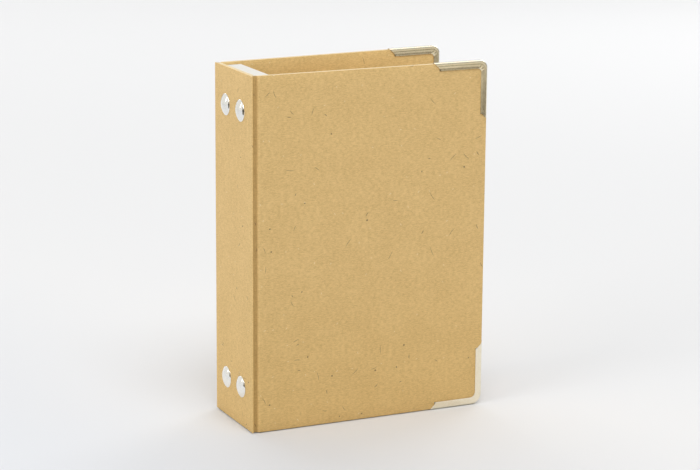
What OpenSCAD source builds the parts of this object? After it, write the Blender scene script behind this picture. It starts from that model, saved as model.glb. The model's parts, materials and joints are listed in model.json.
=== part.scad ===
// Two-ring scrapbook album: kraft board cover with creased hinges, nickel corner
// protectors, and a lever-operated ring mechanism riveted to the spine.
// Frame: +Z up with the album standing on its lower edge, +X from the spine to the
// fore-edge, the front cover on the -Y side, origin at the centre of the base.

/* [Cover boards] */
// Height of the spine and the cover boards
board_h = 168; // [164:1:190]
// Distance from the spine's outer face to a cover's fore-edge
cover_w = 120; // [110:1:150]
// Width of the spine, which is the closed album's depth
spine_w = 44.8; // [44:0.2:60]
// Thickness of the board
board_t = 2.4; // [2.3:0.1:2.6]
// How far the back cover stands open, in degrees
back_flare = 3.3; // [0:0.1:10]

/* [Creases] */
// Width of the pressed groove beside each spine edge
groove_w = 2.7; // [2.6:0.05:2.8]
// Depth of the pressed groove
groove_d = 1.2; // [1:0.1:1.3]
// Softened corner along each spine edge
spine_edge = 0.3; // [0.3:0.01:0.35]

/* [Corner protectors] */
// Length of each leg along the board's edge
corner_leg = 28.5; // [20:0.5:32]
// Length of the lower protectors' upright legs
lower_leg = 31.5; // [20:0.5:34]
// Width of the metal on the board's face
corner_face = 3.8; // [3:0.1:5]
// Thickness of the sheet metal
corner_metal = 0.45; // [0.3:0.05:0.8]
// Outer radius of the protector's bend
corner_r = 5; // [4:0.5:7]
// Radius at the inside of the bend
corner_inner_r = 2; // [1:0.5:3]

/* [Riser block] */
// How far the block stands in from the spine board
riser_d = 9.6; // [8:0.1:12]
// Gap between the block and the board's ends
riser_inset = 1.2; // [1:0.1:3]
// Gap between the block and each cover
riser_side_gap = 0.3; // [0.3:0.1:1]

/* [Rivets] */
// Distance between the upper and the lower pair
rivet_pitch = 131.4; // [128:0.1:134]
// Distance between the two rivets of a pair
rivet_spacing = 17.7; // [17.4:0.1:18]
// Height of the rivet pattern's centre above the boards' centre
rivet_lift = 0.6; // [0:0.1:1]
// Radius of the domed head
rivet_head_r = 5.2; // [4.5:0.1:5.5]
// Height of the domed head with its rim
rivet_dome = 1.9; // [1.6:0.1:2.4]
// Height of the head's straight rim
rivet_rim = 0.5; // [0.3:0.1:0.7]
// Radius of the shank
rivet_shank_r = 2; // [1.8:0.05:2]

/* [Rings] */
// Distance between the two rings
ring_pitch = 80; // [60:5:80]
// Inner diameter of a closed ring
ring_inner_d = 25; // [25:0.5:26]
// Diameter of the ring's wire
wire_d = 3; // [2.8:0.1:3]
// Angle that each hinge blade turns through as the rings open
blade_travel = 12; // [10:1:12]

/* [Ring mechanism] */
// Length of the arched spring cover
mech_l = 148; // [148:1:150]
// Width of the arched spring cover
mech_w = 26; // [26:0.1:26.4]
// Thickness of the plate against the riser block
plate_t = 0.8; // [0.6:0.1:0.8]
// Thickness of the spring cover's sheet
spring_t = 0.8; // [0.7:0.1:0.8]
// Angle that each lever turns through as the rings open
lever_travel = 30; // [28:1:30]

/* [Hidden] */
$fn = 64;
// Small overlap that joins two shapes, and overshoots that carry a cut right through.
eps = 0.01;
over = 1;
clear_through = 10;

// Standing levels: the lower protectors touch the surface, the boards sit on them.
board_z = corner_metal;
album_top = board_h + 2 * corner_metal;
mid_z = board_z + board_h / 2 + rivet_lift;

// Cover hinges run in the grooves, halfway through the board.
hinge_x = 1.5;
hinge_inset = board_t / 2;
board_start = 1.9;
board_len = cover_w - hinge_x - board_start;
web_x = 1.0;

// Groove section: a circle that gives the wanted width and depth.
groove_start = 0.45;
groove_r = (groove_w * groove_w / 4 + groove_d * groove_d) / (2 * groove_d);
groove_x = groove_start + groove_w / 2;
groove_y = groove_d - groove_r;

// The box around the whole album sets the origin.
reach_x = cover_w + corner_metal;
half_cover_t = board_t / 2 + corner_metal;
x_low = -rivet_dome;
x_high = reach_x;
y_low = -corner_metal;
y_high = spine_w - hinge_inset
    + (reach_x - hinge_x) * sin(back_flare) + half_cover_t * cos(back_flare);
mid_x = (x_low + x_high) / 2;
mid_y = (y_low + y_high) / 2;

// Rivets
rivet_cap = rivet_dome - rivet_rim;
rivet_cap_r = (rivet_head_r * rivet_head_r + rivet_cap * rivet_cap) / (2 * rivet_cap);
rivet_grip = board_t + riser_d + plate_t;
rivet_tail_r = 3;
rivet_tail_h = 1.2;
rivet_hole_r = rivet_shank_r + 0.1;

// Spring cover: upright walls joined by a shallow arch, measured from the riser block.
plate_w = 29;
plate_l = mech_l + 2;
plate_corner_r = 3;
wall_top = 4.2;
arch_rise = 3.6;
arch_half = mech_w / 2;
arch_r = (arch_half * arch_half + arch_rise * arch_rise) / (2 * arch_rise);
arch_x = wall_top + arch_rise - arch_r;
wall_inner = arch_half - spring_t;
notch_half = 5.6;
notch_z = 66.5;
tab_len = 5;
tab_gap = 0.1;
tab_rows = [-56, -20, 20, 56];
dimple_rows = [-50, -15, 15, 50];
dimple_len = 4;
dimple_x = 2.0;
dimple_h = 0.7;
dimple_depth = 1;

// Hinge blades
pivot_x = 3.4;
pivot_y = 11.5;
blade_t = 1;
blade_half_l = 58;
blade_gap = 0.2;
blade_reach = pivot_y - blade_gap;
blade_tilt = blade_travel / 2;
tongue_half = 5;
tongue_z = 68.7;

// Rings: each half springs from its blade at ring_foot_y and meets its twin at the tip.
ring_r = (ring_inner_d + wire_d) / 2;
ring_foot_y = 6;
ring_foot_x = pivot_x - (pivot_y - ring_foot_y) * sin(blade_tilt);
ring_x = ring_foot_x + sqrt(ring_r * ring_r - ring_foot_y * ring_foot_y);
ring_foot_angle = 180 - asin(ring_foot_y / ring_r);
ring_foot_extra = 2.4;
ring_tip_angle = 0.25;
slot_half = 2.2;
slot_inner_y = 6.6;
slot_outer_y = arch_half - 0.1;
slot_low_x = 3.9;

// Levers
lever_z = 71;
lever_tilt = lever_travel / 2;
lever_hub_r = 1.8;
lever_hub_half = 4.5;
lever_pad_half = 5;
lever_arm_angle = 30;
lever_arm_l = 10;
lever_arm_t = 1.2;
lever_lip_r = 1.1;
finger_half = 2;
finger_reach = 3.6;
finger_mouth = 1.25;
finger_t = 0.7;
pin_r = 1;
pin_fit = 0.05;
pin_head_r = 1.6;
pin_head_h = 0.5;

// ---- Placing ----

// Moves the album's own corner-based layout to the frame's origin.
module placed() translate([-mid_x, -mid_y, 0]) children();

// A cover's own layout: x from the hinge axis, y through the board, z up.
module on_front_hinge() translate([hinge_x, hinge_inset, 0]) children();

module on_back_hinge()
    translate([hinge_x, spine_w - hinge_inset, 0])
    rotate([0, 0, back_flare])
    mirror([0, 1, 0]) children();

// Mirrors a spine-edge feature to the back edge.
module at_back_edge() translate([0, spine_w, 0]) mirror([0, 1, 0]) children();

// The mechanism's layout: x away from the riser block, y and z from its centre.
module on_mechanism() translate([board_t + riser_d, spine_w / 2, mid_z]) children();

// Lays a drawing of the X-Z plane upright, centred on its thickness.
module upright(thickness) rotate([90, 0, 0]) linear_extrude(thickness, center = true) children();

// Turns a shape drawn along Z so that it runs along +X.
module along_x() rotate([0, 90, 0]) children();

// Turns a shape drawn along Z so that it runs along Y.
module along_y() rotate([90, 0, 0]) children();

// ---- Cover boards ----

module groove_section() translate([groove_x, groove_y]) circle(groove_r);

module spine_section() {
    difference() {
        polygon([
            [0, spine_edge], [spine_edge, 0], [web_x, 0], [web_x, board_t],
            [board_t, board_t], [board_t, spine_w - board_t],
            [web_x, spine_w - board_t], [web_x, spine_w],
            [spine_edge, spine_w], [0, spine_w - spine_edge]
        ]);
        groove_section();
        translate([0, spine_w]) mirror([0, 1]) groove_section();
    }
}

module at_each_rivet()
    for (z = [-1, 1], y = [-1, 1])
        translate([0, spine_w / 2 + y * rivet_spacing / 2, mid_z + z * rivet_pitch / 2])
            children();

module rivet_holes(from_x, depth)
    at_each_rivet() translate([from_x, 0, 0]) along_x() cylinder(r = rivet_hole_r, h = depth);

module spine_panel() {
    color([0.86, 0.75, 0.52])
    difference() {
        translate([0, 0, board_z]) linear_extrude(board_h) spine_section();
        rivet_holes(-over, board_t + 2 * over);
    }
}

// Board outline in the X-Z plane, with its two fore-edge corners rounded.
module board_outline() {
    r = corner_r - corner_metal;
    union() {
        square([board_len - r, board_h]);
        translate([0, r]) square([board_len, board_h - 2 * r]);
        translate([board_len - r, r]) circle(r);
        translate([board_len - r, board_h - r]) circle(r);
    }
}

module cover_board()
    translate([board_start, 0, board_z]) upright(board_t) board_outline();

module front_cover() color([0.83, 0.71, 0.49]) on_front_hinge() cover_board();

module back_cover() color([0.83, 0.71, 0.49]) on_back_hinge() cover_board();

// The thinned web of board that bends at the hinge.
module crease() {
    translate([0, 0, board_z])
    linear_extrude(board_h)
    difference() {
        translate([web_x, 0]) square([hinge_x + board_start - web_x, board_t]);
        groove_section();
    }
}

module front_crease() color([0.67, 0.55, 0.34]) crease();

module back_crease() {
    color([0.67, 0.55, 0.34])
    intersection() {
        at_back_edge() crease();
        // Trimmed where the flared cover's edge begins.
        translate([hinge_x, spine_w - hinge_inset, 0])
            rotate([0, 0, back_flare])
            translate([-cover_w + board_start, -cover_w / 2, 0])
            cube([cover_w, cover_w, album_top]);
    }
}

// ---- Corner protectors ----

// L-shaped outline with its outer corner at the origin and its legs along -X and -Y.
module corner_outline(upright_leg) {
    inner = corner_face + corner_inner_r;
    difference() {
        union() {
            translate([-corner_leg, -corner_face]) square([corner_leg, corner_face]);
            translate([-corner_face, -upright_leg]) square([corner_face, upright_leg]);
            difference() {
                translate([-inner, -inner]) square(inner);
                translate([-inner, -inner]) circle(corner_inner_r);
            }
        }
        difference() {
            translate([-corner_r, -corner_r]) square(corner_r + over);
            translate([-corner_r, -corner_r]) circle(corner_r);
        }
        mitre_cut(corner_leg);
        mirror([1, -1]) mitre_cut(upright_leg);
    }
}

// The free end of a leg is cut at 45 degrees, so its outer edge is the longer one.
module mitre_cut(leg)
    polygon([
        [-leg - over, over], [-leg - over, -corner_face - over],
        [-leg + corner_face + over, -corner_face - over]
    ]);

module corner_protector(upright_leg = corner_leg) {
    difference() {
        translate([reach_x - hinge_x, 0, album_top])
            upright(2 * half_cover_t) corner_outline(upright_leg);
        cover_board();
    }
}

module corner_at_bottom()
    translate([0, 0, album_top]) mirror([0, 0, 1]) corner_protector(lower_leg);

module corner_front_top() color([0.8, 0.78, 0.74]) on_front_hinge() corner_protector();
module corner_front_bottom() color([0.8, 0.78, 0.74]) on_front_hinge() corner_at_bottom();
module corner_back_top() color([0.8, 0.78, 0.74]) on_back_hinge() corner_protector();
module corner_back_bottom() color([0.8, 0.78, 0.74]) on_back_hinge() corner_at_bottom();

// ---- Riser block and rivets ----

module spine_riser() {
    inner_w = spine_w - 2 * (board_t + riser_side_gap);
    color([0.9, 0.9, 0.88])
    difference() {
        translate([board_t, (spine_w - inner_w) / 2, board_z + riser_inset])
            cube([riser_d, inner_w, board_h - 2 * riser_inset]);
        rivet_holes(0, board_t + riser_d + over);
    }
}

// One rivet on the X axis: head outside, shank through the stack, tail spread inside.
module rivet() {
    along_x() rotate_extrude() {
        intersection() {
            translate([0, rivet_cap_r - rivet_dome]) circle(rivet_cap_r, $fn = 128);
            translate([0, -rivet_dome]) square([rivet_head_r, rivet_dome]);
        }
        square([rivet_shank_r, rivet_grip + eps]);
        translate([0, rivet_grip]) square([rivet_tail_r, rivet_tail_h]);
    }
}

module rivet_at(y_side, z_side) {
    color([0.85, 0.84, 0.82])
    translate([
        0,
        spine_w / 2 + y_side * rivet_spacing / 2,
        mid_z + z_side * rivet_pitch / 2
    ]) rivet();
}

// ---- Ring mechanism ----

module plate_outline() {
    w = plate_w / 2 - plate_corner_r;
    l = plate_l / 2 - plate_corner_r;
    square([2 * w, plate_l], center = true);
    square([plate_w, 2 * l], center = true);
    for (y = [-w, w], z = [-l, l]) translate([y, z]) circle(plate_corner_r);
}

module base_plate() {
    color([0.72, 0.72, 0.72])
    difference() {
        on_mechanism() difference() {
            rotate([90, 0, 90]) linear_extrude(plate_t) plate_outline();
            // Open notches under the levers
            for (z = [-1, 1])
                translate([-over, -tongue_half, z > 0 ? notch_z : -notch_z - clear_through])
                    cube([plate_t + 2 * over, 2 * tongue_half, clear_through]);
            // Slots for the spring cover's tabs
            for (y = [-1, 1], z = tab_rows)
                translate([
                    -over,
                    y * (arch_half - spring_t / 2) - spring_t / 2 - tab_gap,
                    z - tab_len / 2 - tab_gap
                ]) cube([plate_t + 2 * over, spring_t + 2 * tab_gap, tab_len + 2 * tab_gap]);
        }
        rivet_holes(board_t + riser_d - over, plate_t + 2 * over);
    }
}

module arch_section(radius, half_width)
    intersection() {
        translate([arch_x, 0]) circle(radius, $fn = 128);
        translate([plate_t, -half_width]) square([wall_top + arch_rise, 2 * half_width]);
    }

// Clearance slot for one ring half, on the -Y side at the ring's level
module ring_slot() {
    translate([slot_low_x, -slot_inner_y - slot_half, 0])
        along_x() cylinder(r = slot_half, h = wall_top + arch_rise);
    translate([slot_low_x, -slot_outer_y, -slot_half])
        cube([wall_top + arch_rise, slot_outer_y - slot_inner_y - slot_half, 2 * slot_half]);
}

module mechanism_cover() {
    color([0.84, 0.84, 0.84])
    on_mechanism() {
        difference() {
            linear_extrude(mech_l, center = true) difference() {
                arch_section(arch_r, arch_half);
                translate([-eps, 0]) arch_section(arch_r - spring_t, wall_inner);
                translate([plate_t - over, -wall_inner]) square([2 * over, 2 * wall_inner]);
            }
            // Notches in the crown for the levers
            for (z = [-1, 1])
                translate([plate_t, -notch_half, z > 0 ? notch_z : -notch_z - clear_through])
                    cube([clear_through, 2 * notch_half, clear_through]);
            for (z = [-1, 1]) translate([0, 0, z * ring_pitch / 2]) {
                ring_slot();
                mirror([0, 1, 0]) ring_slot();
            }
            for (z = [-lever_z, lever_z])
                translate([pivot_x, 0, z]) along_y()
                    cylinder(r = pin_r + pin_fit, h = mech_w + 2 * over, center = true);
        }
        // Tabs that lock into the base plate, and dimples that carry the blades
        for (y = [-1, 1]) {
            for (z = tab_rows)
                translate([0, y * (arch_half - spring_t / 2) - spring_t / 2, z - tab_len / 2])
                    cube([plate_t + eps, spring_t, tab_len]);
            for (z = dimple_rows)
                translate([
                    dimple_x,
                    y > 0 ? wall_inner - dimple_depth : -wall_inner - eps,
                    z - dimple_len / 2
                ]) cube([dimple_h, dimple_depth + eps, dimple_len]);
        }
    }
}

// Front half of a ring, centred on its own level
module ring_half() {
    sweep = ring_foot_angle + ring_foot_extra - ring_tip_angle;
    translate([ring_x, 0, 0])
        rotate([0, 0, -ring_foot_angle - ring_foot_extra])
        rotate_extrude(angle = sweep, $fn = 96)
        translate([ring_r, 0]) circle(d = wire_d, $fn = 32);
}

// Front blade: the full-width rail, its two end tongues and the rounded pivot edge
module blade() {
    difference() {
        translate([pivot_x, -pivot_y, 0]) rotate([0, 0, blade_tilt]) {
            translate([-blade_t / 2, 0, -blade_half_l])
                cube([blade_t, blade_reach, 2 * blade_half_l]);
            translate([-blade_t / 2, pivot_y - tongue_half, -tongue_z])
                cube([blade_t, blade_reach - pivot_y + tongue_half, 2 * tongue_z]);
            cylinder(d = blade_t, h = 2 * blade_half_l, center = true);
        }
        for (z = [-1, 1]) translate([0, 0, z * ring_pitch / 2]) ring_half();
    }
}

module blade_front() color([0.7, 0.7, 0.71]) on_mechanism() blade();
module blade_back() color([0.7, 0.7, 0.71]) on_mechanism() mirror([0, 1, 0]) blade();

module ring_front(level)
    color([0.86, 0.86, 0.86]) on_mechanism() translate([0, 0, level]) ring_half();

module ring_back(level)
    color([0.86, 0.86, 0.86])
    on_mechanism() translate([0, 0, level]) mirror([0, 1, 0]) ring_half();

// Upper lever: hub, a mouth of two fingers that grips the blades, and the thumb pad
module lever() {
    translate([pivot_x, 0, lever_z])
    difference() {
        union() {
            upright(2 * lever_hub_half) circle(lever_hub_r);
            upright(2 * finger_half) rotate(-lever_tilt) {
                for (side = [-1, 1])
                    translate([side * (finger_mouth + finger_t / 2) - finger_t / 2, -finger_reach])
                        square([finger_t, finger_reach]);
            }
            upright(2 * lever_pad_half) rotate(lever_arm_angle - lever_tilt) {
                translate([lever_hub_r - over, -lever_arm_t / 2])
                    square([lever_arm_l - lever_hub_r + over, lever_arm_t]);
                translate([lever_arm_l, 0]) circle(lever_lip_r);
            }
        }
        along_y() cylinder(r = pin_r + pin_fit, h = mech_w, center = true);
    }
}

module lever_top() color([0.8, 0.8, 0.8]) on_mechanism() lever();
module lever_bottom() color([0.8, 0.8, 0.8]) on_mechanism() mirror([0, 0, 1]) lever();

// Headed pin that carries a lever between the spring cover's walls
module lever_pin(level) {
    color([0.75, 0.75, 0.75])
    on_mechanism() translate([pivot_x, 0, level]) along_y() {
        cylinder(r = pin_r, h = mech_w + pin_head_h, center = true);
        for (side = [-1, 1])
            translate([0, 0, side * (arch_half + pin_head_h / 2)])
                cylinder(r = pin_head_r, h = pin_head_h, center = true);
    }
}

placed() spine_panel();
placed() front_cover();
placed() back_cover();
placed() front_crease();
placed() back_crease();
placed() corner_front_top();
placed() corner_front_bottom();
placed() corner_back_top();
placed() corner_back_bottom();
placed() spine_riser();
placed() rivet_at(-1, 1);  // rivet_top_front
placed() rivet_at(1, 1);  // rivet_top_back
placed() rivet_at(-1, -1);  // rivet_bottom_front
placed() rivet_at(1, -1);  // rivet_bottom_back
placed() base_plate();
placed() mechanism_cover();
placed() blade_front();
placed() blade_back();
placed() ring_front(ring_pitch / 2);  // ring_front_top
placed() ring_front(-ring_pitch / 2);  // ring_front_bottom
placed() ring_back(ring_pitch / 2);  // ring_back_top
placed() ring_back(-ring_pitch / 2);  // ring_back_bottom
placed() lever_top();
placed() lever_bottom();
placed() lever_pin(lever_z);  // lever_pin_top
placed() lever_pin(-lever_z);  // lever_pin_bottom
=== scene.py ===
import json
import math

import bmesh
import bpy
from mathutils import Matrix, Vector


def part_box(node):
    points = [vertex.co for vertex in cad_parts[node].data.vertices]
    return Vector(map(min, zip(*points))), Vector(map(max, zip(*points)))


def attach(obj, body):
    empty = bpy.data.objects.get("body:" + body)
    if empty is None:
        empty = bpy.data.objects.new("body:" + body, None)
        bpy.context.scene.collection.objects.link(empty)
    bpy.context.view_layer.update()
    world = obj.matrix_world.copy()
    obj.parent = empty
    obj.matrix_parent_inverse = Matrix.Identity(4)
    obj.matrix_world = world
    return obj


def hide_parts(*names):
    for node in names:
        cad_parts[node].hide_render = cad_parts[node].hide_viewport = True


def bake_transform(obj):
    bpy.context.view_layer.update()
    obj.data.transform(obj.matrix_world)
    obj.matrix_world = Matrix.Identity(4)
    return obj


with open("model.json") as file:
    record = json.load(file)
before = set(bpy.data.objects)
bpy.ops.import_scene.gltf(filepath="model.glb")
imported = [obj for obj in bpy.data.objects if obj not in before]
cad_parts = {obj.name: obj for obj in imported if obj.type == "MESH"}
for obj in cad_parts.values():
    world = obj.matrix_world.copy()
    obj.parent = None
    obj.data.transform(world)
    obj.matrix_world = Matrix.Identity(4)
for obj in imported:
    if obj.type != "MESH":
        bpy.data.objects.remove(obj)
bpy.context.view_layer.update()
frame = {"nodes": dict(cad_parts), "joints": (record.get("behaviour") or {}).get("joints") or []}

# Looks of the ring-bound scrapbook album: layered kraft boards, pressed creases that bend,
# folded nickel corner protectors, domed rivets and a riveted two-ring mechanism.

MM = 0.001

# ---- Sizes read from the frame ----

SPINE_LOW, SPINE_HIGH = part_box("spine_panel")
FRONT_LOW, FRONT_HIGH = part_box("front_cover")
_, CREASE_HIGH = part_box("front_crease")
CORNER_LOW, CORNER_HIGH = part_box("corner_front_top")
BOARD_T = FRONT_HIGH.y - FRONT_LOW.y
METAL_T = FRONT_LOW.y - CORNER_LOW.y
BOARD_BOTTOM, BOARD_TOP = FRONT_LOW.z, FRONT_HIGH.z
JOINTS = {j["name"]: j for j in frame["joints"]}
FRONT_HINGE = Vector(JOINTS["front_cover_hinge"]["pos_m"])
BACK_HINGE = Vector(JOINTS["back_cover_hinge"]["pos_m"])
BACK_FLARE = -math.radians(JOINTS["back_cover_hinge"]["range_deg"][0])

# Cover layouts: x runs along the cover from its hinge axis, y through the board with the
# outer face on the -y side, z up.
FRONT_FRAME = Matrix.Translation((FRONT_HINGE.x, FRONT_HINGE.y, 0))
BACK_FRAME = (Matrix.Translation((BACK_HINGE.x, BACK_HINGE.y, 0))
              @ Matrix.Rotation(BACK_FLARE, 4, "Z") @ Matrix.Scale(-1, 4, (0, 1, 0)))
BACK_SPINE_FRAME = (Matrix.Translation((BACK_HINGE.x, BACK_HINGE.y, 0))
                    @ Matrix.Scale(-1, 4, (0, 1, 0)))

COVER_END = FRONT_HIGH.x - FRONT_HINGE.x
COVER_EDGE = CREASE_HIGH.x - FRONT_HINGE.x
SPINE_INNER = SPINE_HIGH.x - FRONT_HINGE.x
HALF_T = BOARD_T / 2

# The protectors' outer and inner bends, and the width of their metal on the board's face.
METAL_BEND = {"top": 4.0 * MM, "bottom": 5.2 * MM}
METAL_INNER_BEND = {"top": 1.9 * MM, "bottom": 2.8 * MM}
METAL_FACE = 3.8 * MM

# The liners glued to the board, and how far its edges are softened.
OUTER_LINER = 0.42 * MM
INNER_LINER = 0.24 * MM
SOFT = 0.14 * MM

# The unrolled liner: the spine's stretch starts at 0 and a cover's at SHEET_START, with its
# pressed groove. The inside of a board lies INSIDE_SHIFT further along than its outside, and
# anything past INSIDE_FROM is inside. The back cover's liner was cut further up the roll, so
# its marks are its own.
SHEET_START = 50.0 * MM
GROOVE_FROM = SHEET_START + 0.35 * MM
GROOVE_TO = SHEET_START + 3.0 * MM
INSIDE_SHIFT = 700.0 * MM
INSIDE_FROM = 500.0 * MM
LINER_ROW = 400.0 * MM


# ---- Node helpers ----

class Nodes:
    """A short way to write a node tree: each call adds a node and wires its inputs."""

    def __init__(self, name):
        self.material = bpy.data.materials.new(name)
        self.material.use_nodes = True
        self.tree = self.material.node_tree
        self.tree.nodes.clear()

    def add(self, kind, inputs=None, **settings):
        node = self.tree.nodes.new("ShaderNode" + kind)
        for key, value in settings.items():
            setattr(node, key, value)
        for key, value in (inputs or {}).items():
            socket = node.inputs[key]
            if isinstance(value, bpy.types.NodeSocket):
                self.tree.links.new(value, socket)
            else:
                socket.default_value = value
        return node

    def math(self, operation, a, b=0.0):
        return self.add("Math", {0: a, 1: b}, operation=operation).outputs[0]

    def noise(self, vector, scale, detail, roughness=0.55):
        node = self.add("TexNoise", {"Vector": vector, "Scale": scale, "Detail": detail,
                                     "Roughness": roughness})
        return node.outputs["Fac"]

    def remap(self, value, low, high, to_low, to_high, smooth=False):
        node = self.add("MapRange", {"Value": value, "From Min": low, "From Max": high,
                                     "To Min": to_low, "To Max": to_high},
                        interpolation_type="SMOOTHSTEP" if smooth else "LINEAR")
        return node.outputs["Result"]

    def mix(self, factor, a, b, blend="MIX"):
        node = self.add("Mix", data_type="RGBA", blend_type=blend)
        for key, value in ((0, factor), (6, a), (7, b)):
            if isinstance(value, bpy.types.NodeSocket):
                self.tree.links.new(value, node.inputs[key])
            else:
                node.inputs[key].default_value = value
        return node.outputs[2]

    def finish(self, **inputs):
        """Closes the material with one shader. Base_Color stands for its input Base Color."""
        sockets = {key.replace("_", " "): value for key, value in inputs.items()}
        shader = self.add("BsdfPrincipled", sockets)
        self.add("OutputMaterial", {"Surface": shader.outputs[0]})
        return self.material


def rgba(red, green, blue):
    return (red, green, blue, 1.0)


# ---- Materials ----

def sheet_coordinates(n):
    """The unrolled sheet's own coordinates in millimetres, kept in the UV map."""
    flat = n.add("UVMap", uv_map="sheet").outputs["UV"]
    return n.add("VectorMath", {0: flat, "Scale": 1000.0}, operation="SCALE").outputs[0]


def fibres(n, place, cell, half_length, half_width, share, bow, offset):
    """Mask of short curved fibres, one to a cell at most, each turned its own way. Lengths are
    in millimetres: bow is how far the ends bend aside, and share is the part of the cells
    that holds a fibre."""
    moved = n.add("VectorMath", {0: place, 1: (offset, offset * 0.7, 0)},
                  operation="ADD").outputs[0]
    cells = n.add("TexVoronoi", {"Vector": moved, "Scale": 1.0 / cell, "Randomness": 0.9},
                  voronoi_dimensions="2D", feature="F1")
    chance = n.add("SeparateColor", {"Color": cells.outputs["Color"]})
    local = n.add("VectorMath", {0: moved, 1: cells.outputs["Position"]},
                  operation="SUBTRACT").outputs[0]
    angle = n.math("MULTIPLY", chance.outputs[0], math.tau)
    turned = n.add("VectorRotate", {"Vector": local, "Angle": angle}, rotation_type="Z_AXIS")
    axis = n.add("SeparateXYZ", {0: turned.outputs[0]})
    reach = n.math("MULTIPLY", half_length, n.remap(chance.outputs[2], 0, 1, 0.45, 1.0))
    along = n.math("DIVIDE", axis.outputs[0], reach)
    curve = n.math("MULTIPLY", n.math("MULTIPLY", along, along), bow)
    across = n.math("DIVIDE", n.math("SUBTRACT", axis.outputs[1], curve), half_width)
    distance = n.math("SQRT", n.math("ADD", n.math("MULTIPLY", along, along),
                                     n.math("MULTIPLY", across, across)))
    body = n.remap(distance, 0.55, 1.05, 1.0, 0.0, smooth=True)
    present = n.math("LESS_THAN", chance.outputs[1], share)
    return n.math("MULTIPLY", body, present)


def between(n, value, low, high, soft):
    """Mask that is 1 between two values and fades out over a soft width at each side."""
    rise = n.remap(value, low - soft, low + soft, 0.0, 1.0, smooth=True)
    fall = n.remap(value, high - soft, high + soft, 1.0, 0.0, smooth=True)
    return n.math("MULTIPLY", rise, fall)


# Kraft liner: its mean colour, and what the light and dark pulp, the painted light on the inside,
# the painted shade towards the bottom and the painted shade in the pressed groove multiply it by.
KRAFT_TINT = (0.714, 0.487, 0.201)
PULP_LIGHT = (1.22, 1.25, 1.31)
PULP_DARK = (0.745, 0.69, 0.565)
INSIDE_LIGHT_TONE = rgba(1.08, 1.13, 1.18)
LOWER_SHADE_TONE = rgba(0.95, 0.92, 0.8)
LOWER_SHADE_HEIGHT = 95.0
GROOVE_SHADE_TONE = rgba(0.7, 0.655, 0.53)
GROOVE_FADE = 0.45

# Marks in the pulp, from the lowest to the topmost: their shape for fibres() as (cell, half
# length, half width, share, bow, offset), how strongly they show, and their colour.
PULP_MARKS = {
    "pale": ((7.5, 0.8, 0.15, 0.2, 0.2, 17.3), 0.8, rgba(0.92, 0.78, 0.5)),
    "faint": ((3.6, 1.6, 0.085, 0.6, 0.4, 3.1), 0.42, rgba(0.42, 0.23, 0.07)),
    "dots": ((10.5, 0.62, 0.5, 0.08, 0.0, 41.7), 0.75, rgba(0.12, 0.07, 0.035)),
    "hairs": ((9.0, 2.9, 0.16, 0.1, 0.3, 29.9), 0.72, rgba(0.2, 0.11, 0.05)),
    "shives": ((12.0, 1.5, 0.22, 0.1, 0.2, 63.3), 0.72, rgba(0.17, 0.09, 0.04)),
}


def kraft_material(name, tint):
    """Kraft liner on board: clouded pulp, a fine streaky grain, sparse bark fibres, painted light
    that makes the inside paler, painted shade that deepens towards the bottom, and a band of
    painted shade, burnished to a lower roughness, where the hinge groove was pressed."""
    n = Nodes(name)
    place = sheet_coordinates(n)
    axes = n.add("SeparateXYZ", {0: place})
    cloud = n.noise(place, 0.07, 2.0)
    mottle = n.noise(place, 0.45, 5.0, 0.68)
    streaked = n.add("VectorMath", {0: place, 1: (0.55, 1.7, 1.0)},
                     operation="MULTIPLY").outputs[0]
    streaks = n.noise(streaked, 1.1, 4.0, 0.62)
    grain = n.noise(place, 2.4, 3.0, 0.65)
    light = rgba(*(c * s for c, s in zip(tint, PULP_LIGHT)))
    dark = rgba(*(c * s for c, s in zip(tint, PULP_DARK)))
    colour = n.mix(n.remap(cloud, 0.35, 0.65, 0.37, 0.63), dark, light)
    colour = n.mix(n.remap(mottle, 0.34, 0.66, 0.0, 0.78), colour, dark)
    colour = n.mix(n.remap(streaks, 0.4, 0.68, 0.0, 0.68), colour, light)
    colour = n.mix(n.remap(grain, 0.38, 0.66, 0.0, 0.5), colour, light)
    # Painted light: the liner on the inside of the boards is made paler and cooler, standing in for
    # light that reaches it.
    inside = n.remap(axes.outputs[0], INSIDE_FROM / MM, INSIDE_FROM / MM + 1.0, 0.0, 1.0)
    colour = n.mix(inside, colour, INSIDE_LIGHT_TONE, blend="MULTIPLY")
    # Painted shade: the liner darkens and warms towards the bottom of each board, over its lowest
    # 95 mm.
    height = n.math("MODULO", axes.outputs[1], LINER_ROW / MM)
    lower_shade = n.remap(height, 0.0, LOWER_SHADE_HEIGHT, 0.5, 0.0, smooth=True)
    colour = n.mix(lower_shade, colour, LOWER_SHADE_TONE, blend="MULTIPLY")
    # Painted shade in the pressed groove: this band darkens the liner's colour there, and it also
    # lowers the roughness where the groove is burnished.
    groove_shade_and_burnish = between(n, axes.outputs[0], GROOVE_FROM / MM, GROOVE_TO / MM, GROOVE_FADE)
    colour = n.mix(n.math("MULTIPLY", groove_shade_and_burnish, 0.85), colour, GROOVE_SHADE_TONE, blend="MULTIPLY")
    masks = {kind: fibres(n, place, *shape) for kind, (shape, _, _) in PULP_MARKS.items()}
    for kind, (_, strength, tone) in PULP_MARKS.items():
        colour = n.mix(n.math("MULTIPLY", masks[kind], strength), colour, tone)
    relief = n.math("ADD", n.math("MULTIPLY", grain, 0.6), n.math("MULTIPLY", mottle, 0.5))
    relief = n.math("ADD", relief, n.math("MULTIPLY", masks["hairs"], 0.25))
    bump = n.add("Bump", {"Height": relief, "Strength": 0.4, "Distance": 0.00004})
    rough = n.math("SUBTRACT", n.remap(grain, 0.3, 0.7, 0.74, 0.88),
                   n.math("MULTIPLY", groove_shade_and_burnish, 0.12))
    return n.finish(Base_Color=colour, Roughness=rough, Normal=bump.outputs[0],
                    Specular_IOR_Level=0.5)


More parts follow.
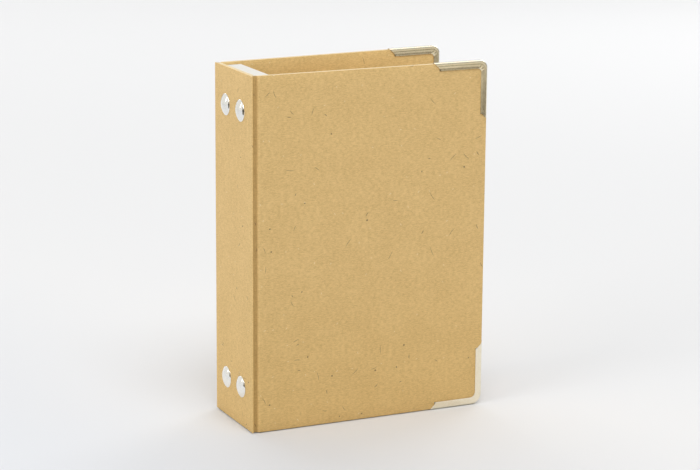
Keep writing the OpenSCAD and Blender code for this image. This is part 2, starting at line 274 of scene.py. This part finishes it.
def core_material():
    """Cut edge of the board: cream pulp in fine layers that run along the edge."""
    n = Nodes("board_core")
    place = sheet_coordinates(n)
    stretched = n.add("VectorMath", {0: place, 1: (0.5, 6.0, 1.0)}, operation="MULTIPLY").outputs[0]
    layers = n.noise(stretched, 0.9, 4.0, 0.65)
    pulp = n.noise(place, 5.0, 3.0)
    colour = n.mix(n.remap(layers, 0.35, 0.7, 0.0, 1.0), rgba(0.78, 0.65, 0.41),
                   rgba(0.66, 0.52, 0.3))
    colour = n.mix(n.remap(pulp, 0.5, 0.75, 0.0, 0.3), colour, rgba(0.5, 0.37, 0.19))
    bump = n.add("Bump", {"Height": n.math("ADD", layers, pulp), "Strength": 0.6,
                          "Distance": 0.00006})
    return n.finish(Base_Color=colour, Roughness=n.remap(pulp, 0.3, 0.7, 0.82, 0.95),
                    Normal=bump.outputs[0])


def object_coordinates(n, stretch=(1.0, 1.0, 1.0)):
    """The piece's own coordinates in millimetres, stretched along chosen axes."""
    place = n.add("TexCoord").outputs["Object"]
    scaled = tuple(1000.0 * s for s in stretch)
    return n.add("VectorMath", {0: place, 1: scaled}, operation="MULTIPLY").outputs[0]


def block_material():
    """White pulp board of the riser: matte, with a faint felt and a few specks."""
    n = Nodes("white_block")
    place = object_coordinates(n)
    felt = n.noise(place, 1.6, 4.0, 0.6)
    broad = n.noise(place, 0.12, 2.0)
    speck = n.remap(n.noise(place, 3.2, 1.0), 0.74, 0.8, 0.0, 0.5, smooth=True)
    colour = n.mix(n.remap(felt, 0.3, 0.7, 0.0, 1.0), rgba(0.73, 0.72, 0.675),
                   rgba(0.67, 0.66, 0.61))
    colour = n.mix(n.remap(broad, 0.4, 0.65, 0.0, 0.25), colour, rgba(0.62, 0.6, 0.54))
    colour = n.mix(speck, colour, rgba(0.5, 0.46, 0.38))
    bump = n.add("Bump", {"Height": felt, "Strength": 0.4, "Distance": 0.00005})
    return n.finish(Base_Color=colour, Roughness=n.remap(felt, 0.3, 0.7, 0.8, 0.92),
                    Normal=bump.outputs[0])


def metal_material(name, tone, rough, scratch, stretch=(1.0, 1.0, 1.0)):
    """Plated metal: faint waviness, rubbed streaks and a slightly uneven polish. scratch is
    how deep the streaks are, and stretch is how they run along each axis."""
    n = Nodes(name)
    place = object_coordinates(n)
    streaks = n.noise(object_coordinates(n, stretch), 1.0, 5.0, 0.65)
    wave = n.noise(place, 0.22, 2.0)
    haze = n.noise(place, 0.9, 3.0)
    warm = rgba(*(c * s for c, s in zip(tone, (0.93, 0.9, 0.84))))
    colour = n.mix(n.remap(haze, 0.35, 0.7, 0.0, 0.7), rgba(*tone), warm)
    polish = n.math("ADD", n.remap(streaks, 0.3, 0.7, rough * 0.75, rough * 1.35),
                    n.remap(haze, 0.4, 0.7, 0.0, 0.05))
    fine = n.add("Bump", {"Height": streaks, "Strength": scratch, "Distance": 0.00002})
    bump = n.add("Bump", {"Height": wave, "Strength": 0.2, "Distance": 0.0001,
                          "Normal": fine.outputs[0]})
    return n.finish(Base_Color=colour, Metallic=1.0, Roughness=polish, Normal=bump.outputs[0])


# The floor's two soft tones, the near one painted shadow by the object and the far one the plain
# floor, the direction in which one fades into the other, and where.
FLOOR_PAINTED_SHADE = rgba(0.706, 0.722, 0.75)
FLOOR_FAR = rgba(0.787, 0.789, 0.793)
FLOOR_TURN = math.radians(65)
FLOOR_FADE = (-0.15, 0.1)


def floor_material():
    """Pale paper sweep with painted shadow, a touch darker and cooler in tone near the object than
    behind it.
    """
    n = Nodes("pale_floor")
    place = n.add("TexCoord").outputs["Object"]
    axes = n.add("SeparateXYZ", {0: place})
    along = n.math("ADD", n.math("MULTIPLY", axes.outputs[0], math.sin(FLOOR_TURN)),
                   n.math("MULTIPLY", axes.outputs[1], math.cos(FLOOR_TURN)))
    # Painted shadow: the floor darkens and cools towards the object's left and front.
    tone = n.remap(along, *FLOOR_FADE, 0.0, 1.0, smooth=True)
    tone = n.math("ADD", tone, n.remap(n.noise(place, 3.0, 2.0), 0.3, 0.7, -0.02, 0.02))
    colour = n.mix(tone, FLOOR_PAINTED_SHADE, FLOOR_FAR)
    return n.finish(Base_Color=colour, Roughness=0.6, Specular_IOR_Level=0.05)


KRAFT = kraft_material("kraft_liner", KRAFT_TINT)
CORE = core_material()
BLOCK = block_material()
TRIM = metal_material("nickel_trim", (0.9, 0.83, 0.67), 0.13, 0.12)
RIVET = metal_material("nickel_rivet", (0.93, 0.92, 0.88), 0.1, 0.08)
RING = metal_material("nickel_ring", (0.86, 0.85, 0.82), 0.12, 0.1)
STEEL = metal_material("mechanism_steel", (0.74, 0.74, 0.73), 0.3, 0.5, (6.0, 6.0, 0.25))


# ---- Mesh helpers ----

def make_piece(name, vertices, faces, materials, indices=None, uvs=None, smooth_angle=35.0):
    """A mesh object from plain lists. uvs holds one (u, v) per face corner, in metres."""
    mesh = bpy.data.meshes.new(name)
    mesh.from_pydata([tuple(v) for v in vertices], [], faces)
    for material in materials:
        mesh.materials.append(material)
    if indices:
        mesh.polygons.foreach_set("material_index", indices)
    if uvs:
        layer = mesh.uv_layers.new(name="sheet")
        layer.data.foreach_set("uv", [c for corner in uvs for c in corner])
    mesh.validate()
    mesh.update()
    piece = bpy.data.objects.new(name, mesh)
    bpy.context.scene.collection.objects.link(piece)
    mesh.shade_smooth()
    mesh.set_sharp_from_angle(angle=math.radians(smooth_angle))
    return piece


def turn_outward(piece):
    """Makes every face of a closed mesh look outward."""
    work = bmesh.new()
    work.from_mesh(piece.data)
    bmesh.ops.recalc_face_normals(work, faces=work.faces)
    work.to_mesh(piece.data)
    work.free()


def arc(centre, radius, start, end, steps):
    """Points on a circular arc, angles in degrees, both ends included."""
    angles = [math.radians(start + (end - start) * i / steps) for i in range(steps + 1)]
    return [(centre[0] + radius * math.cos(a), centre[1] + radius * math.sin(a)) for a in angles]


# ---- Layered board ----

# Rows of faces up a board, and the share of a softened edge that its first facet takes.
ROWS = 28
FACET = 0.3


def thickness_loop(low, high, thickness):
    """The closed loop round a board's section: (share of thickness, height, kind).
    kind says what the stretch that starts at the point shows: liner or core."""
    soft = SOFT / thickness
    skin, lining = OUTER_LINER / thickness, 1 - INNER_LINER / thickness
    rows = [low + SOFT + (high - low - 2 * SOFT) * i / ROWS for i in range(ROWS + 1)]
    top = [(FACET * soft, high - FACET * SOFT, "liner"), (soft, high, "liner"),
           (skin, high, "core"), (0.5, high, "core"), (lining, high, "liner"),
           (1 - soft, high, "liner"), (1 - FACET * soft, high - FACET * SOFT, "liner")]
    bottom = [(1 - FACET * soft, low + FACET * SOFT, "liner"), (1 - soft, low, "liner"),
              (lining, low, "core"), (0.5, low, "core"), (skin, low, "liner"),
              (soft, low, "liner"), (FACET * soft, low + FACET * SOFT, "liner")]
    outer = [(0.0, z, "liner") for z in rows]
    inner = [(1.0, z, "liner") for z in reversed(rows)]
    return outer + top + inner + bottom


def board_piece(name, stations, matrix, close_end=False, row=0.0):
    """Lofts a board through stations of (outer point, inner point, low, high, sheet place).
    Each point lies in the layout's X-Y plane. The faces carry the liner's own coordinates,
    and row is how far up the roll that liner was cut."""
    vertices, faces, indices, uvs = [], [], [], []
    loops = []
    for outer, inner, low, high, along in stations:
        outer, inner = Vector(outer), Vector(inner)
        loop = thickness_loop(low, high, (inner - outer).length)
        ring = []
        for share, height, kind in loop:
            spot = outer.lerp(inner, share)
            ring.append(len(vertices))
            vertices.append(matrix @ Vector((spot.x, spot.y, height)))
        loops.append((ring, loop, along, (inner - outer).length))
    count = len(loops[0][0])

    def place(entry, k):
        """Where a loop point lies on the unrolled liner, the inside one well away from it."""
        _, loop, along, thickness = entry
        share, height, _ = loop[k]
        shift = INSIDE_SHIFT if share > 0.5 else 0.0
        return (along + share * thickness + shift, height + row)

    for a, b in zip(loops, loops[1:]):
        for k in range(count):
            m = (k + 1) % count
            faces.append((a[0][k], b[0][k], b[0][m], a[0][m]))
            indices.append(1 if a[1][k][2] == "core" else 0)
            corners = [place(a, k), place(b, k), place(b, m), place(a, m)]
            far = max(u for u, _ in corners)
            corners = [(u + INSIDE_SHIFT, v) if far - u > INSIDE_FROM else (u, v)
                       for u, v in corners]
            uvs.extend(corners)
    for entry, kind in ((loops[0], 0), (loops[-1], 1 if close_end else 0)):
        ring = entry[0]
        faces.append(tuple(ring))
        indices.append(kind)
        uvs.extend((entry[2] + entry[1][k][0] * entry[3], entry[1][k][1] + row)
                   for k in range(count))
    piece = make_piece(name, vertices, faces, [KRAFT, CORE], indices, uvs)
    turn_outward(piece)
    return piece


def along_sheet(points, start):
    """Running length of a polyline, from a starting value."""
    total, found = start, []
    previous = points[0]
    for point in points:
        total += (Vector(point) - Vector(previous)).length
        found.append(total)
        previous = point
    return found


def corner_drop(distance_to_end, end):
    """How far the board's rounded fore-edge corner falls back from its straight edge."""
    radius = METAL_BEND[end] - METAL_T
    inset = radius - distance_to_end
    return radius - math.sqrt(max(radius * radius - inset * inset, 0.0)) if inset > 0 else 0.0


# The crease: the circle of the pressed groove, where the web's outer lip starts before it, and
# the cover's soft shoulder behind it. The cover's face is flat from COVER_FLAT on.
GROOVE_R = 1.359 * MM
GROOVE_X = 0.3 * MM
GROOVE_Y = -HALF_T - 0.159 * MM
WEB_LIP = (GROOVE_X - 1.26 * MM, -HALF_T + 0.06 * MM)
SHOULDER_R = 0.55 * MM
COVER_FLAT = COVER_EDGE + SHOULDER_R + 0.15 * MM

# The web's inside starts WEB_INSIDE_LEAD before the spine's inner face, and the web starts to
# bend BEND_LEAD before the middle of its groove.
WEB_INSIDE_LEAD = 1.4 * MM
BEND_LEAD = 0.9 * MM


def cover_stations(start, sheet_start):
    """A cover from where its face runs flat to the fore-edge."""
    radius = max(METAL_BEND.values()) - METAL_T
    steps = 10
    body = [start + (COVER_END - radius - start) * i / steps for i in range(steps + 1)]
    curve = [COVER_END - radius + radius * math.sin(math.radians(a)) for a in range(6, 90, 6)]
    places = [(x, 0.0) for x in body + curve]
    places += [(COVER_END - FACET * SOFT, FACET * SOFT), (COVER_END, SOFT)]
    found = []
    for x, inset in places:
        low = BOARD_BOTTOM + corner_drop(COVER_END - x, "bottom")
        high = BOARD_TOP - corner_drop(COVER_END - x, "top")
        if COVER_END - x < 0.5 * SOFT:
            low = BOARD_BOTTOM + METAL_BEND["bottom"] - METAL_T
            high = BOARD_TOP - METAL_BEND["top"] + METAL_T
        along = sheet_start + x - start
        found.append(((x, -HALF_T + inset), (x, HALF_T - inset), low, high, along))
    return found


def web_outline():
    """Outer line of the crease: spine edge, pressed groove, then the cover's soft shoulder."""
    groove = arc((GROOVE_X, GROOVE_Y), GROOVE_R, 168, 24, 14)
    shoulder = arc((COVER_EDGE + SHOULDER_R, -HALF_T + SHOULDER_R), SHOULDER_R, 232, 270, 5)
    groove_end = shoulder[0][0] - 0.1 * MM
    under_face = -HALF_T + 0.02 * MM
    groove = [(x, y) for x, y in groove if x < groove_end and y > under_face]
    return [WEB_LIP] + groove + shoulder + [(COVER_FLAT, -HALF_T)]


def web_piece(name, matrix_spine, flare, row):
    """The thin board web at a hinge, bent between the spine and its cover."""
    outer = web_outline()
    sheet = along_sheet(outer, SHEET_START)
    first, last = outer[0][0], outer[-1][0]
    inner_start = SPINE_INNER - WEB_INSIDE_LEAD
    stations = []
    for point, along in zip(outer, sheet):
        share = (point[0] - first) / (last - first)
        inner_x = inner_start + share * (last - inner_start)
        stations.append((point, (inner_x, HALF_T), BOARD_BOTTOM, BOARD_TOP, along))
    piece = board_piece(name, stations, Matrix.Identity(4), row=row)
    bend_from, bend_to = GROOVE_X - BEND_LEAD, COVER_EDGE
    for vertex in piece.data.vertices:
        share = min(max((vertex.co.x - bend_from) / (bend_to - bend_from), 0.0), 1.0)
        eased = share * share * (3 - 2 * share)
        turn = Matrix.Rotation(-flare * eased, 4, "Z")
        vertex.co = matrix_spine @ (turn @ vertex.co)
    turn_outward(piece)
    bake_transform(piece)
    return piece, sheet[-1]


def build_covers():
    for side, body, spine_frame, cover_frame, flare, row in (
            ("front", "front_cover", FRONT_FRAME, FRONT_FRAME, 0.0, 0.0),
            ("back", "back_cover", BACK_SPINE_FRAME, BACK_FRAME, BACK_FLARE, LINER_ROW)):
        web, sheet_end = web_piece(side + "_crease_web", spine_frame, flare, row)
        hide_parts(side + "_crease")
        board = board_piece(side + "_board", cover_stations(COVER_FLAT, sheet_end), cover_frame,
                            close_end=True, row=row)
        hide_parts(side + "_cover")
        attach(board, body)


def build_spine():
    """The spine board, with softened long edges that thin out towards the creases."""
    middle = (FRONT_HINGE.y + BACK_HINGE.y) / 2
    half = (BACK_HINGE.y - FRONT_HINGE.y) / 2 + HALF_T
    edge_r = 0.32 * MM
    lip = 0.5 * MM
    lip_sink = 0.02 * MM
    steps = 12
    face = SPINE_LOW.x
    quarter = arc((face + edge_r, -half + edge_r), edge_r, 270, 180, 5)
    outer = [(face + lip, -half + lip_sink)] + quarter
    outer += [(face, -half + edge_r + (2 * half - 2 * edge_r) * i / steps)
              for i in range(1, steps)]
    outer += [(x, -y) for x, y in reversed(quarter)] + [(face + lip, half - lip_sink)]
    sheet = along_sheet(outer, 0.0)
    stations = []
    # The part of the thickness that is there at a long edge, and that joins half a thickness in.
    thinnest, thickening = 0.35, 0.55
    inner_half = half - 0.75 * BOARD_T
    for (x, y), along in zip(outer, sheet):
        depth = BOARD_T * min(1.0, (half - abs(y)) / (0.5 * BOARD_T) * thickening + thinnest)
        inner_y = max(min(y, inner_half), -inner_half)
        stations.append(((x, y + middle), (face + depth, inner_y + middle), BOARD_BOTTOM,
                         BOARD_TOP, along))
    spine = board_piece("spine_board", stations, Matrix.Identity(4))
    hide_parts("spine_panel")
    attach(spine, "spine")


# ---- Corner protectors ----

def channel_profile():
    """Section of the folded sheet: (depth from the outer edge, offset through the board).
    The flat face is slightly crowned, and its free edge stands a hair off the board."""
    half = HALF_T + METAL_T
    fold_r = 1.5 * MM
    crown = 0.05 * MM
    undercut = 0.14 * MM
    clearance = 0.01 * MM
    inside = HALF_T + clearance
    lifted = HALF_T + 0.15 * MM
    lift_from, lift_to = METAL_FACE - 0.8 * MM, METAL_FACE - 0.4 * MM
    rim = arc((fold_r, -half + fold_r), fold_r, 270, 180, 14)
    face = [(lift_from, -inside), (lift_to, -lifted), (METAL_FACE - undercut, -lifted)]
    steps = 8
    for i in range(steps):
        share = i / steps
        rise = crown * (1 - 4 * (share - 0.5) ** 2)
        face.append((METAL_FACE + (fold_r - METAL_FACE) * share, -half + crown - rise))
    outside = face + rim
    outside += [(d, -y) for d, y in reversed(outside)]
    inner = METAL_T + 2 * clearance
    return outside + [(inner, inside), (inner, -inside)]


# Stations along each leg of a protector and round its bend.
LEG_STEPS = 8
BEND_STEPS = 24


def leg_path(upright, radius, inner_radius):
    """Stations along the outer edge: (edge point, step per unit of depth, end sign, bend share).
    The outer and the inner line bend round centres of their own."""
    tip_x = COVER_END + METAL_T
    leg = CORNER_HIGH.x - CORNER_LOW.x
    face = METAL_FACE
    outer_centre = (tip_x - radius, -radius)
    inner_centre = (tip_x - face - inner_radius, -face - inner_radius)
    stations = []

    def add(outer, inner, end, bend):
        step = ((inner[0] - outer[0]) / face, (inner[1] - outer[1]) / face)
        stations.append((outer, step, end, bend))

    start = tip_x - leg
    for i in range(LEG_STEPS + 1):
        share = i / LEG_STEPS
        outer = (start + (outer_centre[0] - start) * share, 0.0)
        inner = (start + (inner_centre[0] - start) * share, -face)
        add(outer, inner, 1.0 if i == 0 else 0.0, 0.0)
    for i in range(1, BEND_STEPS):
        angle = math.radians(90 - 90 * i / BEND_STEPS)
        way = (math.cos(angle), math.sin(angle))
        outer = (outer_centre[0] + radius * way[0], outer_centre[1] + radius * way[1])
        inner = (inner_centre[0] + inner_radius * way[0], inner_centre[1] + inner_radius * way[1])
        add(outer, inner, 0.0, i / BEND_STEPS)
    for i in range(LEG_STEPS + 1):
        share = i / LEG_STEPS
        outer = (tip_x, outer_centre[1] + (-upright - outer_centre[1]) * share)
        inner = (tip_x - face, inner_centre[1] + (-upright - inner_centre[1]) * share)
        add(outer, inner, -1.0 if i == LEG_STEPS else 0.0, 0.0)
    return stations


def pleat_depth(depth, bend):
    """Small gathers that the fold leaves on the face at the inside of the bend."""
    height, gathers = 0.07 * MM, 2.5
    near = max(0.0, (depth / METAL_FACE - 0.5) / 0.5)
    return height * near * math.sin(math.pi * bend) * math.sin(math.tau * gathers * bend)


def corner_piece(name, matrix, upright, end_name):
    """One protector: a channel folded round the board's corner, mitred at both ends."""
    profile = channel_profile()
    top = BOARD_TOP + METAL_T
    vertices, faces = [], []
    path = leg_path(upright, METAL_BEND[end_name], METAL_INNER_BEND[end_name])
    for (x, z), (inward_x, inward_z), end, bend in path:
        for depth, offset in profile:
            px = x + inward_x * depth + (depth if end > 0 else 0.0)
            pz = z + inward_z * depth + (depth if end < 0 else 0.0)
            pleat = pleat_depth(depth, bend)
            py = offset + (pleat if offset > HALF_T else -pleat if offset < -HALF_T else 0.0)
            height = top + pz
            if end_name == "bottom":
                height = BOARD_BOTTOM + BOARD_TOP - height
            vertices.append(matrix @ Vector((px, py, height)))
    count = len(profile)
    rows = len(vertices) // count
    for i in range(rows - 1):
        for k in range(count):
            m = (k + 1) % count
            faces.append((i * count + k, (i + 1) * count + k, (i + 1) * count + m, i * count + m))
    faces.append(tuple(range(count)))
    faces.append(tuple(range((rows - 1) * count, rows * count)))
    piece = make_piece(name, vertices, faces, [TRIM], smooth_angle=50.0)
    turn_outward(piece)
    return piece


def build_corners():
    for side, matrix in (("front", FRONT_FRAME), ("back", BACK_FRAME)):
        for end in ("top", "bottom"):
            low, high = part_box(f"corner_{side}_{end}")
            piece = corner_piece(f"protector_{side}_{end}", matrix, high.z - low.z, end)
            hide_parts(f"corner_{side}_{end}")
            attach(piece, side + "_cover")


# ---- Rivets, riser and ring mechanism ----

def revolve_x(name, profile, centre, material, segments=72):
    """Turns a profile of (x, radius) about a line along X through the centre."""
    vertices, faces = [], []
    for x, radius in profile:
        for k in range(segments):
            angle = math.tau * k / segments
            vertices.append((centre.x + x, centre.y + radius * math.cos(angle),
                             centre.z + radius * math.sin(angle)))
    for i in range(len(profile) - 1):
        for k in range(segments):
            m = (k + 1) % segments
            a, b = i * segments, (i + 1) * segments
            faces.append((a + k, a + m, b + m, b + k))
    faces.append(tuple(reversed(range(segments))))
    faces.append(tuple(range((len(profile) - 1) * segments, len(profile) * segments)))
    piece = make_piece(name, vertices, faces, [material])
    turn_outward(piece)
    return piece


def rivet_profile(low, high):
    """Domed head with a rolled rim, shank, and the tail spread over the plate."""
    face = SPINE_LOW.x
    dome = face - low.x
    head = (high.y - low.y) / 2
    rim_height = 0.32 * MM
    crown = dome - rim_height
    radius = (head * head + crown * crown) / (2 * crown)
    steps = 33
    cap = []
    for i in range(1, steps):
        out = head * i / steps
        cap.append((-rim_height - crown + radius - math.sqrt(radius * radius - out * out), out))
    rim = [(-rim_height + 0.04 * MM, head - 0.02 * MM), (-0.18 * MM, head),
           (0.0, head - 0.06 * MM)]
    shank = 2.0 * MM
    tail_height = 1.2 * MM
    tail_start = high.x - face - tail_height
    tail = [(0.0, shank), (tail_start, shank), (tail_start, 2.7 * MM),
            (tail_start + 0.3 * MM, 3.0 * MM), (tail_start + 0.8 * MM, 2.6 * MM),
            (tail_start + 1.1 * MM, 1.6 * MM), (tail_start + tail_height, 0.5 * MM)]
    apex = (-dome, 0.02 * MM)
    return [apex] + cap + rim + tail


def build_rivets():
    for row in ("top", "bottom"):
        for side in ("front", "back"):
            node = f"rivet_{row}_{side}"
            low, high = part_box(node)
            centre = Vector((SPINE_LOW.x, (low.y + high.y) / 2, (low.z + high.z) / 2))
            piece = revolve_x(f"{node}_domed", rivet_profile(low, high), centre, RIVET)
            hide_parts(node)
            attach(piece, "spine")


# How finished copies are cleaned and shaded: the distance that merges vertices, and the angles
# below which faces are one flat face, shade smoothly, or keep an edge from being rounded.
MERGE = 0.001 * MM
FLAT_ANGLE = math.radians(0.5)
SMOOTH_ANGLE = math.radians(32)
ROUNDED_ANGLE = math.radians(50)
RISER_EDGE = 0.35 * MM


def finished_copy(node, body, material, edge=0.0):
    """A smooth-shaded piece made from a copy of a CAD node's mesh, which it then stands for.
    edge is the width of its rounded corners."""
    mesh = frame["nodes"][node].data.copy()
    mesh.name = node + "_finished"
    if "custom_normal" in mesh.attributes:
        mesh.attributes.remove(mesh.attributes["custom_normal"])
    work = bmesh.new()
    work.from_mesh(mesh)
    bmesh.ops.remove_doubles(work, verts=work.verts, dist=MERGE)
    if edge:
        bmesh.ops.dissolve_limit(work, angle_limit=FLAT_ANGLE, verts=work.verts,
                                 edges=work.edges)
    work.to_mesh(mesh)
    work.free()
    mesh.materials.clear()
    mesh.materials.append(material)
    mesh.polygons.foreach_set("material_index", [0] * len(mesh.polygons))
    mesh.shade_smooth()
    mesh.set_sharp_from_angle(angle=SMOOTH_ANGLE)
    piece = bpy.data.objects.new(node + "_finished", mesh)
    bpy.context.scene.collection.objects.link(piece)
    if edge:
        bevel = piece.modifiers.new("soft_edges", "BEVEL")
        bevel.width = edge
        bevel.segments = 3
        bevel.limit_method = "ANGLE"
        bevel.angle_limit = ROUNDED_ANGLE
        bevel.harden_normals = True
    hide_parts(node)
    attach(piece, body)


def build_mechanism():
    finished_copy("spine_riser", "spine", BLOCK, RISER_EDGE)
    for node in ("base_plate", "mechanism_cover", "lever_pin_top", "lever_pin_bottom"):
        finished_copy(node, "spine", STEEL)
    for row in ("top", "bottom"):
        finished_copy("lever_" + row, "lever_" + row, STEEL)
    for side in ("front", "back"):
        finished_copy("blade_" + side, side + "_blade", STEEL)
        for row in ("top", "bottom"):
            finished_copy(f"ring_{side}_{row}", side + "_blade", RING)


# ---- Stage, light and camera ----

CAMERA_AZIMUTH = math.radians(-25.085)
CAMERA_ELEVATION = math.radians(13.257)
CAMERA_ROLL = math.radians(0.431)
CAMERA_DISTANCE = 1.1206
CAMERA_LENS = 120.97
CAMERA_SENSOR = 36.0
CAMERA_TARGET = Vector((FRONT_HINGE.x + 0.05829, (FRONT_HINGE.y + BACK_HINGE.y) / 2, 0.08494))


def build_camera():
    """The camera, aimed at CAMERA_TARGET. back, right and up are its axes before it rolls."""
    back = Vector((math.sin(CAMERA_AZIMUTH) * math.cos(CAMERA_ELEVATION),
                   -math.cos(CAMERA_AZIMUTH) * math.cos(CAMERA_ELEVATION),
                   math.sin(CAMERA_ELEVATION)))
    right = (-back).cross(Vector((0, 0, 1))).normalized()
    up = back.cross(right)
    turned_right = right * math.cos(CAMERA_ROLL) + up * math.sin(CAMERA_ROLL)
    turned_up = up * math.cos(CAMERA_ROLL) - right * math.sin(CAMERA_ROLL)
    camera = bpy.data.objects.new("camera", bpy.data.cameras.new("camera"))
    camera.data.lens = CAMERA_LENS
    camera.data.sensor_width = CAMERA_SENSOR
    camera.data.clip_start = 0.05
    camera.data.clip_end = 50.0
    camera.matrix_world = Matrix((
        (turned_right.x, turned_up.x, back.x, 0), (turned_right.y, turned_up.y, back.y, 0),
        (turned_right.z, turned_up.z, back.z, 0), (0, 0, 0, 1)))
    camera.location = CAMERA_TARGET + back * CAMERA_DISTANCE
    bpy.context.scene.collection.objects.link(camera)
    bpy.context.scene.camera = camera


# White panel lamps: name, place, the point each is aimed at, size and power in watts.
LAMPS = (
    ("behind_above", (0.5, 1.6, 1.5), (0.1, 0.7, 0.0), (1.6, 1.6), 7.4),
    ("behind_low", (-0.2, 1.8, 1.0), (0.0, 0.3, 0.0), (1.2, 0.8), 5.8),
    ("front_above", (-0.1, -0.75, 1.5), (0.0, 0.0, 0.1), (0.8, 0.8), 11.3),
    ("fill_left", (-1.3, -0.3, 0.7), (-0.05, 0.0, 0.08), (0.8, 0.9), 6.3),
    ("right_behind", (1.3, 0.9, 0.9), (0.1, 0.0, 0.0), (0.8, 0.8), 6.8),
    ("rivet_glint", (-1.05, 0.6, 0.5), (-0.06, 0.0, 0.1), (0.12, 0.5), 0.27),
)
WORLD_STRENGTH = 0.45
FLOOR_REACH = 9.0


def area_light(name, place, aim, size, power):
    light = bpy.data.lights.new(name, "AREA")
    light.shape = "RECTANGLE"
    light.size, light.size_y = size
    light.energy = power
    lamp = bpy.data.objects.new(name, light)
    lamp.location = place
    lamp.rotation_mode = "QUATERNION"
    lamp.rotation_quaternion = (Vector(place) - Vector(aim)).to_track_quat("Z", "Y")
    bpy.context.scene.collection.objects.link(lamp)


def build_stage():
    reach = FLOOR_REACH
    floor = make_piece("floor", [(-reach, -reach, 0), (reach, -reach, 0), (reach, reach, 0),
                                 (-reach, reach, 0)], [(0, 1, 2, 3)], [floor_material()])
    world = bpy.data.worlds.new("studio")
    world.use_nodes = True
    backdrop = world.node_tree.nodes["Background"]
    backdrop.inputs["Color"].default_value = rgba(1.0, 1.0, 1.0)
    backdrop.inputs["Strength"].default_value = WORLD_STRENGTH
    bpy.context.scene.world = world
    for lamp in LAMPS:
        area_light(*lamp)
    build_cards()


# ---- Cards that only the polished metal reflects ----

# Tones of the two dark cards from the floor up, as (height in metres, tone).
BROWN_TONES = (
    (0.0, (0.2, 0.17, 0.12)), (0.025, (0.42, 0.38, 0.28)), (0.042, (0.42, 0.38, 0.28)),
    (0.054, (0.17, 0.145, 0.1)), (0.066, (0.17, 0.145, 0.1)), (0.095, (0.7, 0.65, 0.53)),
)
BLACK_TONES = (
    (0.0, (0.2, 0.175, 0.11)), (0.08, (0.2, 0.175, 0.11)), (0.12, (0.04, 0.035, 0.025)),
    (0.15, (0.04, 0.035, 0.025)), (0.19, (0.3, 0.27, 0.19)),
)
# Where along x a card's paler part fades into the rest.
PALE_FADE = (0.2, 0.3)


def card_material(name, stops, pale_side=1.0):
    """Matte card whose tone changes with its height: stops are (height in metres, tone).
    pale_side is how much lighter its left part is than its right part."""
    n = Nodes(name)
    place = n.add("TexCoord").outputs["Object"]
    axes = n.add("SeparateXYZ", {0: place})
    colour = rgba(*stops[0][1])
    for (low, _), (high, tone) in zip(stops, stops[1:]):
        rise = n.remap(axes.outputs[2], low, high, 0.0, 1.0, smooth=True)
        colour = n.mix(rise, colour, rgba(*tone))
    side = n.remap(axes.outputs[0], *PALE_FADE, pale_side, 1.0, smooth=True)
    weave = n.math("MULTIPLY", side, n.remap(n.noise(place, 40.0, 2.0), 0.3, 0.7, 0.9, 1.0))
    colour = n.mix(1.0, colour, weave, blend="MULTIPLY")
    return n.finish(Base_Color=colour, Roughness=0.9, Specular_IOR_Level=0.1)


def white_card_material(name, strength):
    """Softly glowing diffuser panel."""
    n = Nodes(name)
    place = n.add("TexCoord").outputs["Object"]
    glow = n.remap(n.noise(place, 1.5, 2.0), 0.3, 0.7, 0.94 * strength, 1.06 * strength)
    return n.finish(Base_Color=rgba(0.04, 0.04, 0.04), Roughness=0.9,
                    Emission_Color=rgba(1.0, 1.0, 0.98), Emission_Strength=glow)


def reflected_card(name, corners, material):
    """A panel outside the view, seen by reflections alone."""
    card = make_piece(name, [Vector(c) for c in corners], [(0, 1, 2, 3)], [material])
    card.visible_camera = False
    card.visible_diffuse = False
    card.visible_shadow = False
    card.visible_transmission = False


def upright_card(name, near, far, height, material):
    """A card that stands on the floor between two (x, y) points."""
    corners = [(*near, 0.0), (*far, 0.0), (*far, height), (*near, height)]
    reflected_card(name, corners, material)


def build_cards():
    brown = card_material("brown_card", BROWN_TONES, 1.4)
    upright_card("brown_card", (-0.02, -0.56), (0.75, -0.25), 0.7, brown)
    black = card_material("black_card", BLACK_TONES)
    upright_card("black_card", (-0.4, 0.06), (-0.4, -0.32), 0.24, black)
    side = white_card_material("white_card_side", 0.78)
    upright_card("white_card_left", (-1.6, 0.1), (-0.3, 1.9), 1.7, side)
    above = white_card_material("white_card_over", 1.4)
    left, right, near, far, high = -0.2, 1.5, -0.1, 1.1, 1.6
    reflected_card("white_card_above", [(left, near, high), (right, near, high),
                                        (right, far, high), (left, far, high)], above)


bpy.context.scene.view_settings.view_transform = "Standard"
build_covers()
build_spine()
build_corners()
build_rivets()
build_mechanism()
build_stage()
build_camera()
